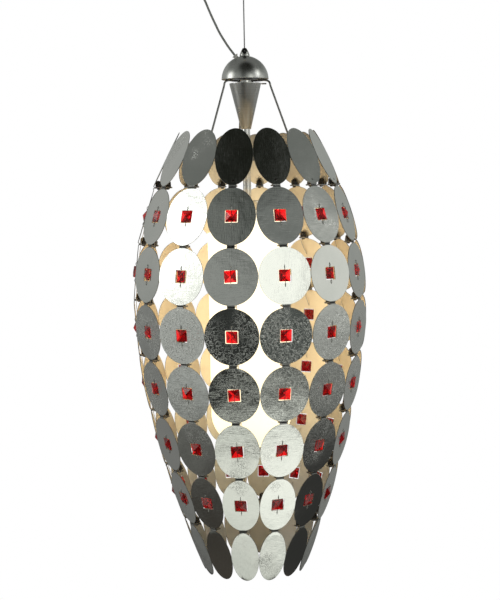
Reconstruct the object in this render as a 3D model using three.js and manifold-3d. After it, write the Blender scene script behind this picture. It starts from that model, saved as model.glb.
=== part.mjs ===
// Pendant lamp: a tall barrel-shaped shade of leafed discs and square crystals, hung on one steel cable.
// Millimetres, +Z up. The origin is the centre of the ceiling plate's top face, and everything hangs below.
import * as THREE from 'three';
import { mergeVertices } from 'three/addons/utils/BufferGeometryUtils.js';
import Module from 'manifold-3d';

const wasm = await Module();
wasm.setup();

// ---- Driving dimensions ----

const GAP = 0.3; // clearance between pieces that rest on each other

const COLUMNS = 14; // columns of discs round the shade
const FIRST_AZIMUTH = -8.5; // degrees, of column 1, counted from the front (-Y) towards +X
const SHADE_TOP = -218; // height of the upper edge of the first row
const ROW_PITCH = 70; // height between two joints of a column
const JOINT_RADII = [83.5, 117.5, 138, 145.5, 140.5, 128, 111, 88.5, 62.5]; // of each joint from the axis
const CRYSTAL_ROWS = [2, 3, 4, 5, 6, 7]; // rows whose discs have a window, counted from the top
const DISC_THICKNESS = 1.2;
const DISC_GAP = 3; // between two discs of one column
const SIDE_GAP = 1.2; // between two discs side by side
const DISC_SIDES = 10;
const WINDOW = 15.2; // side of the square window
const CRYSTAL = 14; // side of the square crystal
const CRYSTAL_DEPTH = 10;
const TAB = { width: 9.4, reach: 11, height: 4.6 }; // the two bent ends that a joint screw holds together
const STRING = { radius: 0.5, offset: 5.7, behind: 1.3 }; // wire that runs down behind the crystals

const PLATE = { radius: 70, thickness: 2 };
const CANOPY = { radius: 72, height: 30, wall: 1.2, corner: 4, top: -0.5 };
const CANOPY_SCREW = { azimuths: [30, 210], z: -12, head: 3, face: 2.2, shank: 1.4, reach: 2.6, hole: 1.8 };
const TERMINAL_BLOCK = {
  size: [26, 12, 12], centre: [-28, 22, -9], screws: [-36, -28, -20], head: 2, rise: 0.6,
};
const PIVOT_Z = -36; // centre of the ball that the cable hangs from
const BALL_RADIUS = 5.5;
const BUSH = { radius: 8.4, foot: 7.2, seat: 6.1, lip: 4.3, floor: 2, top: -26, rim: -39, bottom: -42.4 };
const CABLE = { radius: 0.8, end: -131 };
const CORD = { radius: 1.4, bore: 2 }; // bore: the inner radius of the gland and bushing that it runs through
const GLAND = {
  x: -56, neck: 4.2, flange: 7, foot: 6.4, mouth: 3.8,
  top: -24, seat: -30.3, flare: -32, rim: -38, bottom: -40,
};
const CLAMP = { top: -116.3, seat: -126.2, radius: 6.3, tip: 2.2, tail: 3.4, end: -159.6 };
const SET_SCREW = { z: -120.6, head: 3.2, shank: 1.2, tip: 1.6, seat: 6.2, face: 8.6 };

const DOME = { radius: 29.4, wall: 1.2, rim: -155.4 };
const CORD_ENTRY = { x: -10.4, y: -3, z: -128, lean: 36 }; // where the power cord goes into the dome
const BUSHING = { radius: 2.6, hole: 2.9, flange: 3.8, seat: 2.2, end: 3.2 };
const HUB = { radius: 16, top: -152.9, bottom: -154.5 };
const HUB_WIRE_HOLE = { x: -10.5, y: -7, radius: 1.8 };
const COLLAR = { radius: 10, armHole: 1.6 };
const ARM_AZIMUTHS = [-51, 69, 189];
const ARM = { radius: 1.25, z: -157.3, start: 5, knee: 31, foot: 66, end: 94.8, bend: 4 };
const ARM_FOOT_Z = SHADE_TOP - ROW_PITCH / 2;
const RING = { radius: 97.3, rod: 1.5, steps: 28 };
const LID = { radius: 17.9, bore: 3, top: -160.2, bottom: -161.7 };
const CONE = { top: -159.9, bottom: -216.8, wide: 19.8, narrow: 6.2, wall: 0.8, rim: 0.8 };
const CONE_SCREW = { radius: 0.9, length: 6.5, z: -160.8 };
const STEM = { radius: 5, bore: 4, end: -309.5 };

const FITTER = { top: -306, bottom: -318, radius: 43.5, wall: 1.2, corner: 2 };
const FITTER_SCREW = { z: -313, shank: 1.6, hole: 2, head: 3, gap: 2, face: 5 };
const HOLDER = { top: -310, bottom: -346, radius: 19, bore: 14.6, crown: 4, hole: 2 };
const NECK = { radius: 39.5, top: -308.3, bottom: -322 };
const GLASS = { radius: 51, wall: 2.5, shoulder: -346, tangent: -576, bottom: -621 };
const BULB = {
  top: -318, neck: -344, taper: -347, throat: -356, bottom: -440, radius: 30, base: 13, waist: 16,
};

// ---- Helpers ----

const radians = THREE.MathUtils.degToRad;

function material(color, roughness, metalness) {
  return new THREE.MeshStandardMaterial({ color, roughness, metalness });
}

const MATERIALS = {
  nickel: material(0xb4b4b0, 0.32, 1),
  steel: material(0x9c9c9c, 0.35, 1),
  leaf: material(0xa9aaa6, 0.28, 1),
  crystal: material(0xc01018, 0.05, 0),
  opal: material(0xfff2d6, 0.3, 0),
  bulb: material(0xffffff, 0.3, 0),
  brass: material(0xc9a45a, 0.35, 1),
  black: material(0x141414, 0.45, 0),
  white: material(0xe8e6e0, 0.5, 0),
  cord: material(0x8f8f8c, 0.4, 0),
};

const lamp = new THREE.Group();

function addPiece(name, geometry, finish, turn = 0) {
  const mesh = new THREE.Mesh(geometry, MATERIALS[finish]);
  mesh.name = name;
  mesh.rotation.z = turn;
  lamp.add(mesh);
  return mesh;
}

// A closed geometry becomes a solid that can be joined and cut.
function solidOf(geometry) {
  const plain = geometry.clone();
  plain.deleteAttribute('normal');
  plain.deleteAttribute('uv');
  const merged = mergeVertices(plain, 1e-4);
  return new wasm.Manifold(new wasm.Mesh({
    numProp: 3,
    vertProperties: Float32Array.from(merged.attributes.position.array),
    triVerts: Uint32Array.from(merged.index.array),
  }));
}

function geometryOf(solid) {
  const mesh = solid.getMesh();
  const geometry = new THREE.BufferGeometry();
  geometry.setAttribute('position', new THREE.BufferAttribute(mesh.vertProperties, 3));
  geometry.setIndex(new THREE.BufferAttribute(mesh.triVerts, 1));
  geometry.computeVertexNormals();
  return geometry;
}

function joined(geometries) {
  const solids = geometries.map(solidOf);
  return geometryOf(solids.reduce((sum, solid) => sum.add(solid)));
}

function cut(geometry, tools) {
  return geometryOf(tools.reduce((rest, tool) => rest.subtract(solidOf(tool)), solidOf(geometry)));
}

// A body of revolution about +Z, from [radius, z] points that run upwards on the outside.
function turned(points, segments) {
  const outline = points.map(([radius, z]) => new THREE.Vector2(radius, z));
  return new THREE.LatheGeometry(outline, segments).rotateX(Math.PI / 2);
}

// A tube or washer about +Z, between two radii and two heights.
function sleeve(outer, inner, bottom, top, segments) {
  return turned([[inner, bottom], [outer, bottom], [outer, top], [inner, top], [inner, bottom]], segments);
}

function cylinder(radius, bottom, top, segments) {
  return turned([[0, bottom], [radius, bottom], [radius, top], [0, top]], segments);
}

// A short cylinder along a radius, at a height and an azimuth from the front.
function radialRod(radius, from, to, z, azimuth) {
  return cylinder(radius, from, to, 8).rotateX(Math.PI / 2).translate(0, 0, z).rotateZ(radians(azimuth));
}

// A rod along a path, with a polygon for its section.
function rod(points, radius, sides, steps, closed = false) {
  const section = new THREE.Shape();
  for (let side = 0; side < sides; side += 1) {
    const angle = (2 * Math.PI * side) / sides;
    const x = radius * Math.cos(angle);
    const y = radius * Math.sin(angle);
    if (side === 0) section.moveTo(x, y);
    else section.lineTo(x, y);
  }
  const path = new THREE.CatmullRomCurve3(points.map((p) => new THREE.Vector3(...p)), closed);
  return new THREE.ExtrudeGeometry(section, { extrudePath: path, steps, bevelEnabled: false });
}

// ---- Ceiling end ----

function ceilingPlate() {
  return cylinder(PLATE.radius, -PLATE.thickness, 0, 24);
}

function ceilingCanopy() {
  const { radius, height, wall, corner, top } = CANOPY;
  const hole = BUSH.radius + GAP;
  const inner = corner + wall / 2;
  const cup = turned([
    [hole, -height], [radius - corner, -height], [radius, corner - height], [radius, top],
    [radius - wall, top], [radius - wall, inner - height], [radius - inner, wall - height],
    [hole, wall - height], [hole, -height],
  ], 24);
  const glandHole = cylinder(GLAND.neck + GAP, -height - wall, 2 * wall - height, 12);
  glandHole.translate(GLAND.x, 0, 0);
  const { azimuths, z } = CANOPY_SCREW;
  const screwHoles = azimuths.map((azimuth) => (
    radialRod(CANOPY_SCREW.hole, radius - 2 * wall, radius + wall, z, azimuth)
  ));
  return cut(cup, [glandHole, ...screwHoles]);
}

function canopyScrew(azimuth) {
  const { z, head, face, shank, reach } = CANOPY_SCREW;
  const seat = CANOPY.radius + GAP;
  return joined([
    radialRod(head, seat, seat + face, z, azimuth),
    radialRod(shank, seat - reach, seat + face / 2, z, azimuth),
  ]);
}

function terminalBlock() {
  const { size, centre, screws, head, rise } = TERMINAL_BLOCK;
  const block = new THREE.BoxGeometry(...size).translate(...centre);
  const face = centre[2] - size[2] / 2;
  const heads = screws.map((x) => (
    cylinder(head, face - rise, face + rise, 8).translate(x, centre[1], 0)
  ));
  return joined([block, ...heads]);
}

// The bush that holds the ball. Its lower lip keeps the ball in and lets the cable lean.
function cableBush() {
  const { radius, foot, seat, lip, floor, top, rim, bottom } = BUSH;
  return turned([
    [lip, bottom], [foot, bottom], [radius, rim], [radius, top], [seat, top],
    [seat, bottom + floor], [lip, bottom + floor], [lip, bottom],
  ], 16);
}

function cableBall() {
  const steps = 6;
  const halfTurn = Array.from({ length: steps + 1 }, (_, i) => {
    const angle = -Math.PI / 2 + (Math.PI * i) / steps;
    const radius = i % steps === 0 ? 0 : BALL_RADIUS * Math.cos(angle);
    return [radius, PIVOT_Z + BALL_RADIUS * Math.sin(angle)];
  });
  return turned(halfTurn, 12);
}

// A gland with a flared mouth, so that the cord can lean as it comes out.
function cordGland() {
  const { x, neck, flange, foot, mouth, top, seat, flare, rim, bottom } = GLAND;
  return turned([
    [mouth, bottom], [foot, bottom], [flange, rim], [flange, seat], [neck, seat], [neck, top],
    [CORD.bore, top], [CORD.bore, flare], [mouth, bottom],
  ], 12).translate(x, 0, 0);
}

// ---- Cable, cord and the head of the lamp ----

function steelCable() {
  const top = PIVOT_Z - BALL_RADIUS - GAP;
  return rod([[0, 0, top], [0, 0, (top + CABLE.end) / 2], [0, 0, CABLE.end]], CABLE.radius, 8, 4);
}

// The cord hangs from its gland and leans in to the bushing on the dome's left shoulder.
const CORD_ROUTE = [
  [-56, 0, -18], [-56, 0, -24], [-55.9, 0, -30], [-55.4, 0, -36], [-54.2, 0, -42], [-52.3, 0, -47.5],
  [-50, 0, -53], [-46.9, 0, -60], [-43.3, -0.2, -69], [-39.5, -0.5, -78], [-35.4, -0.9, -87],
  [-30.7, -1.4, -97], [-25.2, -2, -106.5], [-19.3, -2.5, -115.8], [-14.5, -2.9, -122.3], [-10.4, -3, -128],
  [-7, -3.1, -132.8], [-5.9, -3.4, -137], [-6, -3.5, -141.5],
];

function powerCord() {
  return rod(CORD_ROUTE, CORD.radius, 8, 28);
}

// A small bell with a threaded tail that clamps the dome on the hub plate.
function cableClamp() {
  const bore = CABLE.radius + GAP;
  const { top, seat, radius, tip, tail, end } = CLAMP;
  const steps = 4;
  const bell = Array.from({ length: steps + 1 }, (_, i) => {
    const rise = i / steps;
    return [tip + (radius - tip) * Math.cos((rise * Math.PI) / 2), seat + (top - seat) * rise];
  });
  const body = turned([[bore, end], [tail, end], [tail, seat], ...bell, [bore, top], [bore, end]], 12);
  return cut(body, [radialRod(SET_SCREW.shank + GAP, bore / 2, 2 * radius, SET_SCREW.z, 0)]);
}

function setScrew() {
  const { z, head, shank, tip, seat, face } = SET_SCREW;
  return joined([radialRod(head, seat, face, z, 0), radialRod(shank, tip, seat + GAP, z, 0)]);
}

function domeCap() {
  const { radius, wall, rim } = DOME;
  const hole = CLAMP.tail + GAP;
  const steps = 5;
  const arc = (r, from, to) => Array.from({ length: steps + 1 }, (_, i) => {
    const angle = from + ((to - from) * i) / steps;
    return [r * Math.cos(angle), rim + r * Math.sin(angle)];
  });
  const outside = arc(radius, 0, Math.acos(hole / radius));
  const inside = arc(radius - wall, Math.acos(hole / (radius - wall)), 0);
  const shell = turned([...outside, ...inside, outside[0]], 18);
  return cut(shell, [atCordEntry(cylinder(BUSHING.hole, -2 * BUSHING.end, 2 * BUSHING.end, 12))]);
}

// Stands a piece made about +Z on the dome's left shoulder, along the cord.
function atCordEntry(geometry) {
  const { x, y, z, lean } = CORD_ENTRY;
  return geometry.rotateY(-radians(lean)).translate(x, y, z);
}

function domeBushing() {
  const { radius, flange, seat, end } = BUSHING;
  return atCordEntry(turned([
    [CORD.bore, -end], [radius, -end], [radius, seat], [flange, seat], [flange, end],
    [CORD.bore, end], [CORD.bore, -end],
  ], 10));
}

function hubPlate() {
  const disc = sleeve(HUB.radius, CLAMP.tail + GAP, HUB.bottom, HUB.top, 18);
  const { x, y, radius } = HUB_WIRE_HOLE;
  return cut(disc, [cylinder(radius, HUB.bottom - GAP, HUB.top + GAP, 10).translate(x, y, 0)]);
}

// The collar between the dome and the cone, with a hole for the end of each arm.
function hubCollar() {
  const { radius, armHole } = COLLAR;
  const bore = CLAMP.tail + GAP;
  const body = sleeve(radius, bore, LID.top + GAP, HUB.bottom - GAP, 18);
  const armHoles = ARM_AZIMUTHS.map((azimuth) => (
    radialRod(armHole, bore - GAP, radius + GAP, ARM.z, azimuth)
  ));
  return cut(body, armHoles);
}

// A rod that leaves the collar level, turns down at the knee and ends in a level foot on the carrier ring.
function arm() {
  const { radius, z, start, knee, foot, end, bend } = ARM;
  const fall = z - ARM_FOOT_Z;
  const leg = (drop) => [knee + ((foot - knee) * drop) / fall, z - drop];
  const outline = [
    [start, z], [knee - 3 * bend, z], [knee - bend, z], leg(bend / 2), leg(2 * bend),
    leg(fall / 2), leg(fall - 3 * bend), [foot + bend / 2, ARM_FOOT_Z + bend / 2],
    [foot + 2 * bend, ARM_FOOT_Z], [end - 3 * bend, ARM_FOOT_Z], [end, ARM_FOOT_Z],
  ];
  return rod(outline.map(([r, height]) => [0, -r, height]), radius, 6, 16);
}

function carrierRing() {
  const points = Array.from({ length: RING.steps }, (_, i) => {
    const angle = (2 * Math.PI * i) / RING.steps;
    return [RING.radius * Math.sin(angle), -RING.radius * Math.cos(angle), ARM_FOOT_Z];
  });
  return rod(points, RING.rod, 4, RING.steps, true);
}

// The plate inside the cone's mouth, under the collar.
function coneLid() {
  return sleeve(LID.radius, LID.bore, LID.bottom, LID.top, 16);
}

function coneShroud() {
  const { top, bottom, wide, narrow, wall, rim } = CONE;
  return turned([
    [narrow - wall, bottom], [narrow, bottom], [wide, top - rim], [wide, top], [wide - wall, top],
    [narrow - wall, bottom],
  ], 20);
}

function coneScrew() {
  const { radius, length, z } = CONE_SCREW;
  return cylinder(radius, 0, length, 8).rotateY(Math.PI / 2).translate(CONE.wide + GAP, 0, z);
}

function stemTube() {
  return sleeve(STEM.radius, STEM.bore, STEM.end, LID.bottom - GAP, 14);
}

// ---- Lamp holder, bulb and diffuser ----

function fitterCap() {
  const { top, bottom, radius, wall, corner } = FITTER;
  const hole = STEM.radius + GAP;
  const shell = turned([
    [hole, top - wall], [radius - wall, top - wall], [radius - wall, bottom], [radius, bottom],
    [radius, top - corner], [radius - corner, top], [hole, top], [hole, top - wall],
  ], 15);
  const holes = ARM_AZIMUTHS.map((azimuth) => (
    radialRod(FITTER_SCREW.hole, radius - 2 * wall, radius + wall, FITTER_SCREW.z, azimuth)
  ));
  return cut(shell, holes);
}

function fitterScrew(azimuth) {
  const { z, shank, head, gap, face } = FITTER_SCREW;
  const seat = FITTER.radius + gap;
  return joined([
    radialRod(shank, NECK.radius + GAP, seat + face / 2, z, azimuth),
    radialRod(head, seat, seat + face, z, azimuth),
  ]);
}

function lampHolder() {
  const { top, bottom, radius, bore, crown, hole } = HOLDER;
  return turned([
    [hole, top - crown], [bore, top - crown], [bore, bottom], [radius, bottom],
    [radius, top - crown], [radius - crown, top], [hole, top], [hole, top - crown],
  ], 14);
}

// Neck, shoulder, straight wall and round end, down the outside and back up the inside.
function diffuserGlass() {
  const { radius, wall, shoulder, tangent, bottom } = GLASS;
  const shoulderSteps = 3;
  const endSteps = 4;
  const shell = (inset) => {
    const side = radius - inset;
    const narrow = NECK.radius - inset;
    const points = [[narrow, NECK.top], [narrow, NECK.bottom]];
    for (let i = 1; i <= shoulderSteps; i += 1) {
      const angle = (Math.PI * i) / (2 * shoulderSteps);
      const z = NECK.bottom + (shoulder - NECK.bottom) * Math.sin(angle);
      points.push([side - (side - narrow) * Math.cos(angle), z]);
    }
    for (let i = 0; i <= endSteps; i += 1) {
      const angle = (Math.PI * i) / (2 * endSteps);
      const z = tangent - (tangent - bottom - inset) * Math.sin(angle);
      points.push([i === endSteps ? 0 : side * Math.cos(angle), z]);
    }
    return points;
  };
  return turned([...shell(0).reverse(), ...shell(wall)], 18);
}

function bulbBase() {
  return cylinder(BULB.base, BULB.neck + GAP / 2, BULB.top, 14);
}

// The round of the bulb, then its throat up to the base.
function bulbGlass() {
  const { neck, taper, throat, radius, base, waist, bottom } = BULB;
  const steps = 5;
  const turn = (5 / 7) * Math.PI; // how far the round goes, from the bottom up
  const points = [[0, bottom]];
  for (let i = 1; i <= steps; i += 1) {
    const angle = -Math.PI / 2 + (turn * i) / steps;
    points.push([radius * Math.cos(angle), bottom + radius + radius * Math.sin(angle)]);
  }
  points.push([waist, throat], [base, taper], [base, neck - GAP], [0, neck - GAP]);
  return turned(points, 14);
}

// ---- Shade ----

function jointPoint(index) {
  return { radius: JOINT_RADII[index], z: SHADE_TOP - ROW_PITCH * index };
}

// Where a row stands: its slant height, its middle's radius, and its frame, +Z outward and +Y up the column.
function rowPlace(row) {
  const above = jointPoint(row - 1);
  const below = jointPoint(row);
  const up = new THREE.Vector3(0, below.radius - above.radius, above.z - below.z);
  const slant = up.length();
  up.normalize();
  const right = new THREE.Vector3(1, 0, 0);
  const frame = new THREE.Matrix4().makeBasis(right, up, right.clone().cross(up));
  frame.setPosition(0, -(above.radius + below.radius) / 2, (above.z + below.z) / 2);
  return { slant, radius: (above.radius + below.radius) / 2, frame };
}

// An elliptical disc. The ones that carry a crystal have a square window.
function disc(row) {
  const { slant, radius, frame } = rowPlace(row);
  const width = 2 * (radius - DISC_THICKNESS / 2) * Math.tan(Math.PI / COLUMNS) - SIDE_GAP;
  const height = slant - DISC_GAP;
  const flatEnd = Math.sin((4 * Math.PI) / DISC_SIDES); // the outline has a level side at each end
  const shape = new THREE.Shape();
  for (let side = 0; side < DISC_SIDES; side += 1) {
    const angle = (2 * Math.PI * side) / DISC_SIDES;
    const x = (width / 2) * Math.cos(angle);
    const y = (height / 2) * (Math.sin(angle) / flatEnd);
    if (side === 0) shape.moveTo(x, y);
    else shape.lineTo(x, y);
  }
  if (CRYSTAL_ROWS.includes(row)) {
    const half = WINDOW / 2;
    const hole = new THREE.Path();
    hole.moveTo(-half, -half).lineTo(-half, half).lineTo(half, half).lineTo(half, -half);
    shape.holes.push(hole);
  }
  const plate = new THREE.ExtrudeGeometry(shape, { depth: DISC_THICKNESS, bevelEnabled: false });
  return plate.translate(0, 0, -DISC_THICKNESS / 2).applyMatrix4(frame);
}

// The stacked tabs of two discs, which reach inwards from the gap between them.
function tabPair(index) {
  const { radius, z } = jointPoint(index);
  const { width, reach, height } = TAB;
  return new THREE.BoxGeometry(width, reach, height).translate(0, -radius + reach / 2, z);
}

function discColumn() {
  const pieces = [];
  const rows = JOINT_RADII.length - 1;
  for (let row = 1; row <= rows; row += 1) pieces.push(disc(row));
  for (let index = 1; index < rows; index += 1) pieces.push(tabPair(index));
  return joined(pieces);
}

// A square crystal: four facets up to a point on each side of its girdle.
function crystal(frame) {
  const corner = CRYSTAL / Math.SQRT2;
  const half = CRYSTAL_DEPTH / 2;
  const girdle = CRYSTAL / 10;
  const stone = turned([[0, -half], [corner, -girdle], [corner, girdle], [0, half]], 4);
  return stone.rotateZ(Math.PI / 4).applyMatrix4(frame);
}

// A straight three-sided wire from one crystal to the next, behind the discs.
function wireBetween(upper, lower) {
  const { radius, offset, behind } = STRING;
  const from = new THREE.Vector3(offset, 0, -behind).applyMatrix4(rowPlace(upper).frame);
  const to = new THREE.Vector3(offset, 0, -behind).applyMatrix4(rowPlace(lower).frame);
  const along = to.clone().sub(from);
  const wire = cylinder(radius, 0, along.length(), 3);
  const turn = new THREE.Quaternion().setFromUnitVectors(new THREE.Vector3(0, 0, 1), along.normalize());
  return wire.applyQuaternion(turn).translate(from.x, from.y, from.z);
}

// Six crystals strung on one wire, which runs down behind the discs.
function crystalString() {
  const crystals = CRYSTAL_ROWS.map((row) => crystal(rowPlace(row).frame));
  const wires = CRYSTAL_ROWS.slice(1).map((row) => wireBetween(row - 1, row));
  return joined([...crystals, ...wires]);
}

// ---- Assembly ----

addPiece('ceiling_plate', ceilingPlate(), 'steel');
addPiece('ceiling_canopy', ceilingCanopy(), 'nickel');
CANOPY_SCREW.azimuths.forEach((azimuth, index) => {
  addPiece(`canopy_screw_${index + 1}`, canopyScrew(azimuth), 'nickel');
});
addPiece('terminal_block', terminalBlock(), 'white');
addPiece('cord_gland', cordGland(), 'nickel');
addPiece('cable_bush', cableBush(), 'nickel');
addPiece('cable_ball', cableBall(), 'brass');
addPiece('steel_cable', steelCable(), 'steel');
addPiece('power_cord', powerCord(), 'cord');
addPiece('cable_clamp', cableClamp(), 'nickel');
addPiece('set_screw', setScrew(), 'black');
addPiece('dome_cap', domeCap(), 'nickel');
addPiece('dome_bushing', domeBushing(), 'white');
addPiece('hub_plate', hubPlate(), 'steel');
addPiece('hub_collar', hubCollar(), 'nickel');
ARM_AZIMUTHS.forEach((azimuth, index) => {
  addPiece(`arm_${index + 1}`, arm(), 'nickel', radians(azimuth));
});
addPiece('cone_lid', coneLid(), 'steel');
addPiece('cone_shroud', coneShroud(), 'nickel');
addPiece('cone_screw', coneScrew(), 'steel');
addPiece('stem_tube', stemTube(), 'nickel');
addPiece('carrier_ring', carrierRing(), 'nickel');
addPiece('fitter_cap', fitterCap(), 'nickel');
ARM_AZIMUTHS.forEach((azimuth, index) => {
  addPiece(`fitter_screw_${index + 1}`, fitterScrew(azimuth), 'nickel');
});
addPiece('lamp_holder', lampHolder(), 'white');
addPiece('diffuser_glass', diffuserGlass(), 'opal');
addPiece('bulb_base', bulbBase(), 'brass');
addPiece('bulb_glass', bulbGlass(), 'bulb');

const columnGeometry = discColumn();
const stringGeometry = crystalString();
for (let column = 0; column < COLUMNS; column += 1) {
  const label = String(column + 1).padStart(2, '0');
  const turn = radians(FIRST_AZIMUTH + (360 * column) / COLUMNS);
  addPiece(`disc_column_${label}`, columnGeometry, 'leaf', turn);
  addPiece(`crystal_string_${label}`, stringGeometry, 'crystal', turn);
}

export default lamp;
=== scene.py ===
import math
import random
from types import SimpleNamespace

import bmesh
import bpy
from mathutils import Matrix, Vector, noise


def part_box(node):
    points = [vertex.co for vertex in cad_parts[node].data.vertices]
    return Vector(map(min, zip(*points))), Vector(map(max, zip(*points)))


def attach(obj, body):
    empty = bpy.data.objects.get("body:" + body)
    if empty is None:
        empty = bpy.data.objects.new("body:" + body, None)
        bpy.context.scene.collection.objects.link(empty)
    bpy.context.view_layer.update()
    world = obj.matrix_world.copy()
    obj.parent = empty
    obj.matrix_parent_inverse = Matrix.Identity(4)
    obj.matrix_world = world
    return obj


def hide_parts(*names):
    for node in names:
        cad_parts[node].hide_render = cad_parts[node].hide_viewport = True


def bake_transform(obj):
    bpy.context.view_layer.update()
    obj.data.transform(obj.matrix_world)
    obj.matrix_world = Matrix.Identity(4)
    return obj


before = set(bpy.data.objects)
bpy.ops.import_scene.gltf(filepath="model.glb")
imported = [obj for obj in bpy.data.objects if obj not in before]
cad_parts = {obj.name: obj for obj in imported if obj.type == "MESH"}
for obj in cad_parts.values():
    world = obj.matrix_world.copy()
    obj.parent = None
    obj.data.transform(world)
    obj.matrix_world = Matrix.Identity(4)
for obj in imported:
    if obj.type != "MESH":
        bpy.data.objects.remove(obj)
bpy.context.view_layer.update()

random.seed(14)
MM = 0.001


def metres(**sizes):
    """A group of named sizes, given in millimetres and kept in metres."""
    return SimpleNamespace(**{name: size * MM for name, size in sizes.items()})


def heights(node):
    """The lowest and highest height of a CAD node."""
    low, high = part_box(node)
    return low[2], high[2]


def extent(node):
    """The radius and the lowest and highest height of a turned CAD node."""
    low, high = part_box(node)
    return (high[1] - low[1]) / 2, low[2], high[2]


# ---- Driving dimensions: the shade. Every outline below is radius and height, in millimetres ----

COLUMNS = 14
FIRST_AZIMUTH = math.radians(-8.5)  # of column 1, counted from the front (-Y) towards +X
SHADE_TOP = -218 * MM
ROW_PITCH = 70 * MM
JOINT_RADII = [radius * MM for radius in (83.5, 117.5, 138, 145.5, 140.5, 128, 111, 88.5, 62.5)]
ROWS = range(1, len(JOINT_RADII))
JOINTS = range(1, len(JOINT_RADII) - 1)  # those that hold two discs together
CRYSTAL_ROWS = (2, 3, 4, 5, 6, 7)

DISC = metres(thickness=0.8, gap=3, aside=0.15, soft=0.1, wave=0.2, crown=0.25, crown_reach=33)
DISC_SIDES = 96
DISC_BANDS = 6
WINDOW = metres(half=7.7, corner=0.5)
CRYSTAL = metres(half=7, girdle=0.9, point=4.4, trim=0.55, soft=0.12)
WIRE = metres(radius=0.38, hole=12.6, hole_radius=0.5, front=0.95, behind=1, deep=2.2, aside=5.7)
TAB = metres(width=9.4, thickness=0.9, overlap=0.5, bend=1.9, level=1.6, reach=10.4)
NUT = metres(inset=6.2, cap_start=2, cap=3.75, cap_base=4.2, cap_height=3.7)
NUT_OUTLINE = ((0, 0), (3.9, 0), (4.2, 0.3), (4.2, 2.6), (3.8, 3), (0, 3))
SCREW_END_OUTLINE = ((0, 0), (2.3, 0), (2.3, -0.7), (1.7, -1.4), (0.9, -1.7), (0.7, -1.2), (0, -1.2))

# ---- Driving dimensions: the ceiling end, cable and cord ----

PLATE_EDGE = 0.5 * MM
CANOPY = metres(wall=1.2, corner=4, bush_hole=8.7, cord_hole=4.6)
CANOPY_SCREW = metres(z=-12, seat=72.3, head=3, height=2.2, shank=1.4, tip=69.7)
CANOPY_SCREW_AZIMUTHS = (30, 210)
PIVOT_Z = -36 * MM
BALL_RADIUS = 5.5 * MM
BUSH_OUTLINE = (
    (4.3, -42.4), (6.6, -42.4), (7.3, -42), (8.4, -39.2), (8.4, -26), (6.1, -26), (6.1, -40.4),
    (4.3, -40.6), (4.3, -42.4),
)
GLAND_X = -56 * MM
GLAND_OUTLINE = (
    (3.7, -40), (4.4, -40.2), (6.4, -40), (7, -38.6), (7, -30.3), (4.2, -30.3), (4.2, -24),
    (2.1, -24), (2.1, -32), (3.7, -40),
)
CABLE = metres(radius=0.8, gap=0.3, end=-131)
CORD_RADIUS = 1.4 * MM
CORD_ROUTE = [  # millimetres, as in the CAD model
    (-56, 0, -18), (-56, 0, -24), (-55.9, 0, -30), (-55.4, 0, -36), (-54.2, 0, -42), (-52.3, 0, -47.5),
    (-50, 0, -53), (-46.9, 0, -60), (-43.3, -0.2, -69), (-39.5, -0.5, -78), (-35.4, -0.9, -87),
    (-30.7, -1.4, -97), (-25.2, -2, -106.5), (-19.3, -2.5, -115.8), (-14.5, -2.9, -122.3), (-10.4, -3, -128),
    (-7, -3.1, -132.8), (-5.9, -3.4, -137), (-6, -3.5, -141.5),
]
CORD_HINGE = 3  # the route's point level with the swing's axis
CORD_ENTRY = 15  # and the one where the cord goes into the dome
CORD_LEAN = math.radians(36)

# ---- Driving dimensions: the head of the lamp ----

CLAMP = metres(bore=1.1, tail=3.4, seat=-126.2, end=-159.6)
BELL_OUTLINE = (
    (6.3, 0), (6.25, 0.9), (5.95, 2.2), (5.45, 3.7), (4.85, 5.2), (4.1, 6.8), (3.3, 8.3), (2.6, 9.3),
    (2, 9.8), (1.5, 9.95), (1.1, 9.9),
)
SET_SCREW = metres(z=-120.6, hole=1.5, hole_start=0.5, hole_end=10)
HEAD_OUTLINE = (
    (0, 1.6), (1.2, 1.7), (1.2, 6.2), (3, 6.2), (3.2, 6.5), (3.2, 8.1),
    (2.9, 8.5), (1.5, 8.6), (1.25, 8.4), (1.25, 7), (0, 7),
)
SOCKET_OUTLINE = ((0, 6.9), (0.85, 6.9), (0.85, 7.9), (0.55, 8.3), (0, 8.35))
DOME = metres(radius=29.4, wall=1.2, rim=-155.4, hole=3.7, cord_hole=2.9, cord_hole_reach=6)
BUSHING_OUTLINE = (
    (2, -3.2), (2.6, -3.2), (2.6, 2), (3.7, 2), (3.8, 2.2), (3.8, 2.8), (3.3, 3.2), (2.2, 3.2), (2, 3),
    (2, -3.2),
)
HUB = metres(bore=3.7, edge=0.3, wire_x=-10.5, wire_y=-7, wire_hole=1.8)
COLLAR = metres(edge=0.4, arm_hole=1.6, hole_start=2, hole_end=12)
ARM_AZIMUTHS = [math.radians(azimuth) for azimuth in (-51, 69, 189)]
ARM = metres(radius=1.25, z=-157.3, start=5, knee=31, foot=66, end=94.8, bend=4)
ARM_FOOT_Z = SHADE_TOP - ROW_PITCH / 2
RING = metres(radius=97.3, rod=1.4)
LID = metres(bore=3, edge=0.25)
CONE = metres(wide=19.8, narrow=6.2, wall=0.8, rim=0.9, edge=0.25)
CONE_SCREW = metres(radius=0.9, z=-160.8, start=20.1, end=26.6, chamfer=0.2)
STEM = metres(radius=5, bore=4)

# ---- Driving dimensions: fitter, lamp holder, bulb, diffuser and studio ----

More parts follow.
